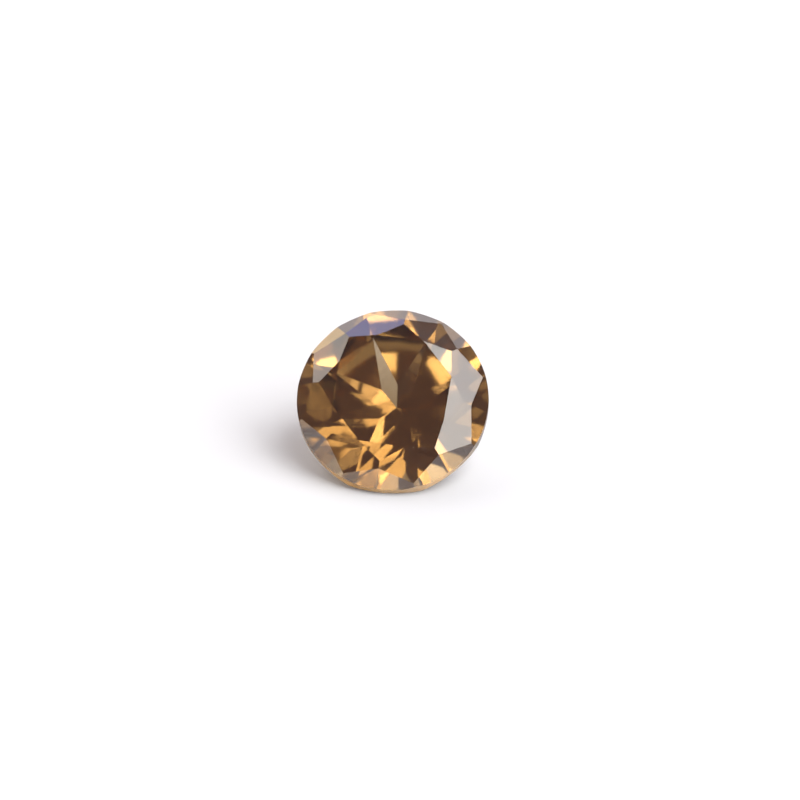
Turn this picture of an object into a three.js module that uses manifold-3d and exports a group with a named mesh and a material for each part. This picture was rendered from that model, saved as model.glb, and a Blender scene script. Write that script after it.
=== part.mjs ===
// A round brilliant-cut brown zircon, loose, lying on one facet of its pavilion.
// Millimetres, +Z up. The origin is on the surface that the stone lies on, under the middle of its bounding box.
import * as THREE from "three";
import { mergeVertices } from "three/addons/utils/BufferGeometryUtils.js";
import Module from "manifold-3d";

const wasm = await Module();
wasm.setup();

// Driving dimensions, in the stone's own frame: its axis is Z, and Z = 0 is the upper edge of the girdle.
const FOLD = 8; // the facets repeat eight times round the axis
const GIRDLE_DIAMETER = 6.5;
const GIRDLE_THICKNESS = 0.31; // where an upper and a lower half meet it at their middles
const GIRDLE_SIDES = 96; // so many flats round the girdle that it reads as round

// The crown, above the girdle
const TABLE_DIAMETER = 4.15; // from corner to corner of the octagon
const CROWN_HEIGHT = 0.91;
const STAR_TIP_DIAMETER = 5.2;
const STAR_TIP_HEIGHT = 0.726;
const KITE_TIP_DIAMETER = 6.29;
const KITE_TIP_HEIGHT = 0.17;

// The pavilion, below the girdle
const PAVILION_DEPTH = 2.756;
const PAVILION_DIAMETER = 7.046; // where the mains, carried on, would reach the lower edge of the girdle
const PAVILION_TURN = 4.35; // degrees that the pavilion is turned from the crown above it
const LOWER_HALF_LENGTH = 0.773; // share of the way from the girdle to the culet
const MAIN_TIP_DIAMETER = 4.95; // where two lower halves close off a main
const CULET_OFF_X = 0.07; // the culet of a hand-cut stone is a little off the axis
const CULET_OFF_Y = -0.105;

// How it lies
const RESTING_EIGHTH = 4; // its first lower half is down, counted clockwise from above the table
const FRONT_TURN = 103.7; // degrees round the upright that bring the table's side to the front

const COLOUR = 0x8a5a2e;

const RADIUS = GIRDLE_DIAMETER / 2;
const STEP = (2 * Math.PI) / FOLD;
const HEART = new THREE.Vector3(0, 0, -PAVILION_DEPTH / 4); // a point well inside, which every facet faces away from
const CULET = new THREE.Vector3(CULET_OFF_X, CULET_OFF_Y, -GIRDLE_THICKNESS - PAVILION_DEPTH);
const UP = new THREE.Vector3(0, 0, 1);
const DOWN = new THREE.Vector3(0, 0, -1);

// A meeting point of facets, from its diameter on the stone, its angle round the axis and its height.
function meet(diameter, angle, height) {
  const radius = diameter / 2;
  return new THREE.Vector3(radius * Math.cos(angle), radius * Math.sin(angle), height);
}

// The plane of a facet through three meeting points, facing out of the stone.
function facetThrough(a, b, c) {
  const plane = new THREE.Plane().setFromCoplanarPoints(a, b, c);
  return plane.distanceToPoint(HEART) < 0 ? plane : plane.negate();
}

// The direction along the girdle at an angle, which a main or a kite is level with.
function alongGirdle(angle) {
  return new THREE.Vector3(-Math.sin(angle), Math.cos(angle), 0);
}

// The crown: the table, then for each eighth a kite, a star and the two upper halves beside it.
function crownFacets() {
  const planes = [new THREE.Plane(UP.clone(), -CROWN_HEIGHT)];
  for (let i = 0; i < FOLD; i++) {
    const kite = -i * STEP;
    const nextKite = kite - STEP;
    const star = kite - STEP / 2;
    const corner = meet(TABLE_DIAMETER, kite, CROWN_HEIGHT);
    const nextCorner = meet(TABLE_DIAMETER, nextKite, CROWN_HEIGHT);
    const starTip = meet(STAR_TIP_DIAMETER, star, STAR_TIP_HEIGHT);
    const kiteTip = meet(KITE_TIP_DIAMETER, kite, KITE_TIP_HEIGHT);
    planes.push(facetThrough(corner, kiteTip, kiteTip.clone().add(alongGirdle(kite))));
    planes.push(facetThrough(corner, nextCorner, starTip));
    for (const side of [kite, nextKite]) {
      const tip = meet(KITE_TIP_DIAMETER, side, KITE_TIP_HEIGHT);
      const foot = meet(GIRDLE_DIAMETER, (side + star) / 2, 0);
      planes.push(facetThrough(starTip, tip, foot));
    }
  }
  return planes;
}

// A main of the pavilion, from the culet up towards the girdle.
function mainFacet(i) {
  const angle = THREE.MathUtils.degToRad(PAVILION_TURN) - i * STEP;
  const foot = meet(PAVILION_DIAMETER, angle, -GIRDLE_THICKNESS);
  const plane = facetThrough(CULET, foot, foot.clone().add(alongGirdle(angle)));
  const tip = CULET.clone().lerp(foot, MAIN_TIP_DIAMETER / PAVILION_DIAMETER);
  return { angle, plane, tip };
}

// The two lower halves between a main and the next one, the half beside the first main first.
function lowerHalves(i) {
  const main = mainFacet(i);
  const next = mainFacet(i + 1);
  const between = main.angle - STEP / 2;
  const ridge = new THREE.Vector3().crossVectors(main.plane.normal, next.plane.normal);
  ridge.multiplyScalar(Math.sign(ridge.z) / Math.hypot(ridge.x, ridge.y));
  const fork = CULET.clone().addScaledVector(ridge, (1 - LOWER_HALF_LENGTH) * RADIUS);
  return [main, next].map((side) => {
    const foot = meet(GIRDLE_DIAMETER, (side.angle + between) / 2, -GIRDLE_THICKNESS);
    return facetThrough(fork, side.tip, foot);
  });
}

// The pavilion: for each eighth a main and the two lower halves between it and the next main.
function pavilionFacets() {
  const planes = [];
  for (let i = 0; i < FOLD; i++) {
    planes.push(mainFacet(i).plane, ...lowerHalves(i));
  }
  return planes;
}

// A closed geometry as a solid, its corners merged.
function solidOf(geometry) {
  const bare = geometry.clone();
  bare.deleteAttribute("normal");
  bare.deleteAttribute("uv");
  const merged = mergeVertices(bare);
  const vertProperties = Float32Array.from(merged.attributes.position.array);
  const triVerts = Uint32Array.from(merged.index.array);
  return new wasm.Manifold(new wasm.Mesh({ numProp: 3, vertProperties, triVerts }));
}

// The round preform that the facets are ground on: a short cylinder that reaches past the table and the culet.
function preform() {
  const top = CROWN_HEIGHT + 1;
  const bottom = CULET.z - 1;
  const blank = new THREE.CylinderGeometry(RADIUS, RADIUS, top - bottom, GIRDLE_SIDES);
  blank.rotateX(Math.PI / 2);
  blank.translate(0, 0, (top + bottom) / 2);
  return solidOf(blank);
}

// Grinds one facet: takes away all that lies outside its plane.
function grind(stone, plane) {
  const size = 4 * GIRDLE_DIAMETER;
  const lap = new THREE.BoxGeometry(size, size, size);
  lap.translate(0, 0, size / 2);
  lap.applyQuaternion(new THREE.Quaternion().setFromUnitVectors(UP, plane.normal));
  const touch = plane.normal.clone().multiplyScalar(-plane.constant);
  lap.translate(touch.x, touch.y, touch.z);
  return stone.subtract(solidOf(lap));
}

// A solid as a three.js geometry with flat facets.
function geometryOf(solid) {
  const mesh = solid.getMesh();
  const geometry = new THREE.BufferGeometry();
  geometry.setAttribute("position", new THREE.BufferAttribute(mesh.vertProperties, mesh.numProp));
  geometry.setIndex(new THREE.BufferAttribute(mesh.triVerts, 1));
  const flat = geometry.toNonIndexed();
  flat.computeVertexNormals();
  return flat;
}

// The cut stone, laid down on its resting facet and turned to its front.
function roundCutZircon() {
  const facets = [...crownFacets(), ...pavilionFacets()];
  const cut = facets.reduce(grind, preform());
  const [restingHalf] = lowerHalves(RESTING_EIGHTH);
  const material = new THREE.MeshStandardMaterial({ color: COLOUR, roughness: 0.05, metalness: 0 });
  const stone = new THREE.Mesh(geometryOf(cut), material);
  stone.name = "round_cut_zircon";
  stone.quaternion.setFromUnitVectors(restingHalf.normal, DOWN);
  stone.rotateOnWorldAxis(UP, THREE.MathUtils.degToRad(FRONT_TURN));
  const box = new THREE.Box3().setFromObject(stone, true);
  const middle = box.getCenter(new THREE.Vector3());
  stone.position.set(-middle.x, -middle.y, -box.min.z);
  return stone;
}

const group = new THREE.Group();
group.add(roundCutZircon());
export default group;
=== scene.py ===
import math
import bmesh
import bpy
from mathutils import Matrix, Vector


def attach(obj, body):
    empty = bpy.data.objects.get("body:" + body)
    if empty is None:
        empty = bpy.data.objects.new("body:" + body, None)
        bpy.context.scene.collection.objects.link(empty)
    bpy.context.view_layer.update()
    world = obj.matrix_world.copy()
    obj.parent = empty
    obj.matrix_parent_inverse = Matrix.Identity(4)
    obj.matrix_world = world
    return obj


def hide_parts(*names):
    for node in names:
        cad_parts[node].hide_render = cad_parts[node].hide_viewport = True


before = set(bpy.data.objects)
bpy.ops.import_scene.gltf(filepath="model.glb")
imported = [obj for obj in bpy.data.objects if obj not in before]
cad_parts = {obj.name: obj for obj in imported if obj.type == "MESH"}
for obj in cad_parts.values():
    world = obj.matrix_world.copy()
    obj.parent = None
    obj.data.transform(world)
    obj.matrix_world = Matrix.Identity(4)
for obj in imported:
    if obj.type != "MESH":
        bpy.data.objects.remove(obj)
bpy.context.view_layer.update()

# The stone: one round brilliant-cut zircon, ground on a lap from a rough crystal and polished facet by facet.
# It is made from the solid's own mesh: the loose triangles are merged into whole facets, the junctions get
# the hair-fine rounding that a polished stone has, and the girdle is left as it was bruted, satin.
WELD = 0.000002
FLAT_WITHIN = math.radians(0.2)
JUNCTION_ROUNDING = 0.000015
GIRDLE_LEAN = 0.05

bpy.ops.object.select_all(action="DESELECT")
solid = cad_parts["round_cut_zircon"]
stone = bpy.data.objects.new("cut_stone", solid.data.copy())
bpy.context.collection.objects.link(stone)
stone.matrix_world = solid.matrix_world
bpy.context.view_layer.objects.active = stone
stone.select_set(True)
bpy.ops.object.transform_apply(location=True, rotation=True, scale=True)

bpy.ops.object.mode_set(mode="EDIT")
bpy.ops.mesh.select_all(action="SELECT")
bpy.ops.mesh.remove_doubles(threshold=WELD)
bpy.ops.mesh.dissolve_limited(angle_limit=FLAT_WITHIN)
bpy.ops.object.mode_set(mode="OBJECT")

# The table is the largest facet and faces along the stone's axis, and the girdle's flats stand round it
table = max(stone.data.polygons, key=lambda face: face.area)
axis = table.normal.copy()


def is_girdle(face):
    return abs(face.normal.dot(axis)) < GIRDLE_LEAN


# Every facet junction is rounded, and the girdle's own upright lines are left alone
bpy.ops.object.mode_set(mode="EDIT")
bpy.ops.mesh.select_all(action="DESELECT")
bpy.ops.mesh.select_mode(type="EDGE")
junctions = bmesh.from_edit_mesh(stone.data)
for edge in junctions.edges:
    edge.select_set(not all(is_girdle(face) for face in edge.link_faces))
bmesh.update_edit_mesh(stone.data)
bpy.ops.mesh.bevel(offset=JUNCTION_ROUNDING, segments=2, profile=0.5, clamp_overlap=True)
bpy.ops.object.mode_set(mode="OBJECT")

# The girdle is round, so its flats shade into each other, and every facet stays flat
bruted = stone.data.attributes.new("bruted", "FLOAT", "FACE")
for face in stone.data.polygons:
    face.use_smooth = is_girdle(face)
    bruted.data[face.index].value = 1.0 if is_girdle(face) else 0.0


# sRGB hex to the linear colour that the shader works in
def linear(hex_colour):
    channels = [int(hex_colour[i : i + 2], 16) / 255 for i in (0, 2, 4)]
    return [c / 12.92 if c <= 0.04045 else ((c + 0.055) / 1.055) ** 2.4 for c in channels] + [1.0]


# Adds a node with its settings and its links: inputs are values, or the sockets they come from
def add_node(material, kind, settings=None, inputs=None):
    node = material.node_tree.nodes.new(kind)
    for name, value in (settings or {}).items():
        setattr(node, name, value)
    for name, value in (inputs or {}).items():
        if isinstance(value, bpy.types.NodeSocket):
            material.node_tree.links.new(value, node.inputs[name])
        else:
            node.inputs[name].default_value = value
    return node


# Clear brown zircon, polished: a high index, so a hard bright gloss and light turned back from every pavilion
# facet. Its colour is in its depth: pale gold where the way through is short, deep brown where it is long.
ZIRCON_INDEX = 1.98
POLISHED = 0.07
SATIN = 0.35
DEPTH_OF_COLOUR = 500.0
zircon = bpy.data.materials.new("polished brown zircon")
zircon.use_nodes = True
zircon.node_tree.nodes.clear()
satin = add_node(zircon, "ShaderNodeAttribute", {"attribute_name": "bruted"})
roughness = add_node(
    zircon,
    "ShaderNodeMapRange",
    inputs={"Value": satin.outputs["Fac"], "To Min": POLISHED, "To Max": SATIN},
)
polish = add_node(
    zircon,
    "ShaderNodeBsdfPrincipled",
    inputs={
        "Base Color": linear("ffffff"),
        "Roughness": roughness.outputs["Result"],
        "IOR": ZIRCON_INDEX,
        "Transmission Weight": 1.0,
    },
)
depth = add_node(
    zircon,
    "ShaderNodeVolumeAbsorption",
    inputs={"Color": linear("d4bb74"), "Density": DEPTH_OF_COLOUR},
)
add_node(
    zircon,
    "ShaderNodeOutputMaterial",
    inputs={"Surface": polish.outputs["BSDF"], "Volume": depth.outputs["Volume"]},
)
stone.data.materials.clear()
stone.data.materials.append(zircon)

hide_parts("round_cut_zircon")
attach(stone, "root")

# The surface that the stone lies on: smooth white card, matt, much wider than the view. It lies a hair below
# the stone's lowest facet, so that the two don't share one plane.
CARD_SIZE = 3.0
CARD_GAP = 0.000004
bpy.ops.object.select_all(action="DESELECT")
bpy.ops.mesh.primitive_plane_add(size=CARD_SIZE, location=(0, 0, -CARD_GAP))
card = bpy.context.object
card.name = "white_card"
bpy.ops.object.transform_apply(location=True)

# Matt card: an even white with a trace of cool, so the stone's shadow on it stays a soft cool grey
paper = bpy.data.materials.new("matt white card")
paper.use_nodes = True
paper.node_tree.nodes.clear()
matt = add_node(
    paper,
    "ShaderNodeBsdfPrincipled",
    inputs={"Base Color": linear("cacdd3"), "Roughness": 0.9, "Specular IOR Level": 0.2},
)
add_node(paper, "ShaderNodeOutputMaterial", inputs={"Surface": matt.outputs["BSDF"]})
card.data.materials.append(paper)

# The camera: a macro lens, held almost level and looking down on the stone, close to square on to its table.
FOCAL_LENGTH = 259.4
CAMERA_DISTANCE = 0.195
CAMERA_ELEVATION = math.radians(28.5)
CAMERA_ROLL = math.radians(2.0)
CAMERA_AIM = Vector((0.00024, -0.0001, 0.00234))
lens = bpy.data.cameras.new("camera")
lens.lens = FOCAL_LENGTH
lens.clip_start = 0.01
lens.clip_end = 10
camera = bpy.data.objects.new("camera", lens)
bpy.context.collection.objects.link(camera)
looking = Matrix.Rotation(math.pi / 2 - CAMERA_ELEVATION, 4, "X") @ Matrix.Rotation(CAMERA_ROLL, 4, "Z")
camera.matrix_world = Matrix.Translation(CAMERA_AIM) @ looking @ Matrix.Translation((0, 0, CAMERA_DISTANCE))
bpy.context.scene.camera = camera

# The light: soft studio lamps in a plain dim room. Each lamp stands in the direction that its reflection or
# its gold patch in the stone asks for.
LAMP_DISTANCE = 1.0
ROOM_STRENGTH = 0.23
BOUNCES = 32


# A softbox is a rectangle of even light that faces the stone. Its bearing and elevation are in degrees, the
# bearing counted from the stone's right and through the back, and its width and height are angles too.
def softbox(name, bearing, elevation, width, height, radiance, colour):
    panel = bpy.data.lights.new(name, "AREA")
    panel.shape = "RECTANGLE"
    panel.size = 2 * LAMP_DISTANCE * math.tan(math.radians(width / 2))
    panel.size_y = 2 * LAMP_DISTANCE * math.tan(math.radians(height / 2))
    panel.color = linear(colour)[:3]
    panel.energy = radiance * math.pi * panel.size * panel.size_y
    lamp = bpy.data.objects.new(name, panel)
    bpy.context.collection.objects.link(lamp)
    turn = Matrix.Rotation(math.radians(bearing), 4, "Z")
    lift = Matrix.Rotation(-math.radians(elevation), 4, "Y")
    outward = turn @ lift @ Vector((1, 0, 0))
    lamp.location = outward * LAMP_DISTANCE
    lamp.rotation_euler = outward.to_track_quat("Z", "Y").to_euler()


# The window at the right lays a grey sheen on the right of the crown, and throws the shadow to the left
softbox("window", 347, 44, 28, 66, 4.0, "fffdf8")
softbox("window edge", 15, 46, 26, 50, 2.3, "fffdf8")
softbox("window below", 316, 35, 26, 54, 4.35, "fffdf8")

# Small lamps above the camera make the gold patches, which the pavilion turns back through the table
softbox("overhead strip", 293, 62, 14, 18, 8.0, "fffff8")
softbox("small front lamp", 285, 33, 8, 7, 12.0, "ffffff")
softbox("small front lamp above", 272, 38, 7, 5, 12.0, "ffffff")

# Pale walls behind and beside the stone give its rim a light edge, with one blue flash at the upper left
softbox("pale wall high", 72, 57, 100, 26, 1.15, "f0f5ff")
softbox("pale wall low", 84, 26, 65, 27, 1.2, "fafaff")
softbox("blue daylight", 108, 40, 12, 12, 1.1, "5c8cff")
softbox("side wall", 153, 38, 28, 46, 2.0, "fffaf2")
softbox("warm lamp", 123, 16, 27, 34, 3.0, "ffe4bc")

world = bpy.data.worlds.new("room")
bpy.context.scene.world = world
world.use_nodes = True
room = world.node_tree.nodes["Background"]
room.inputs["Color"].default_value = linear("ffdcd8")
room.inputs["Strength"].default_value = ROOM_STRENGTH

# Light crosses the stone many times before it leaves it, so the bounces are many
scene = bpy.context.scene
scene.view_settings.view_transform = "Standard"
scene.cycles.max_bounces = BOUNCES
scene.cycles.transmission_bounces = BOUNCES
scene.cycles.glossy_bounces = BOUNCES
